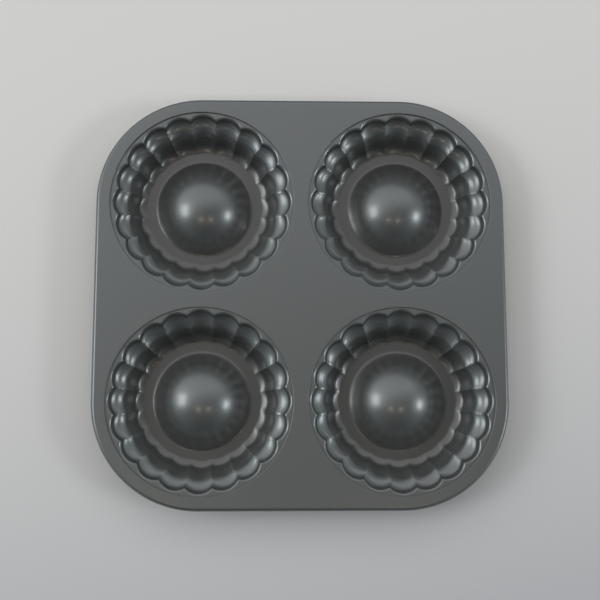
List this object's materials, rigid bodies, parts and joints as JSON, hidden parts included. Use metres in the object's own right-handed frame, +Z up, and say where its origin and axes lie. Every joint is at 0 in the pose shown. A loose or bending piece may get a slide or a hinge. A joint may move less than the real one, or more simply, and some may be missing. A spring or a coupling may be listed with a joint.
{
  "type": "mini fluted tart pan",
  "caption": "Square bakeware tray with rounded corners, a wired rim and round fluted tart cups, each with a raised dome in its floor.",
  "frame": {"origin": "middle of the pan, on the plane that the cup floors stand on", "axes": "+Z up, square to the panel, out of the cups' mouths; +X to the right and +Y to the back, each square to a pair of sides"},
  "size_m": [0.26, 0.26, 0.0257],
  "materials": {
    "panel_coating": "semi-gloss dark grey metallic non-stick coating on steel sheet",
    "cup_coating": "semi-gloss dark grey metallic non-stick coating on steel sheet",
    "rim_wire_steel": "plain drawn wire, hidden in the rolled rim"
  },
  "bodies": {
    "root": {"top_panel": "panel_coating", "fluted_cup_front_left": "cup_coating", "fluted_cup_front_right": "cup_coating", "fluted_cup_back_left": "cup_coating", "fluted_cup_back_right": "cup_coating", "rim_wire": "rim_wire_steel"}
  },
  "joints": []
}
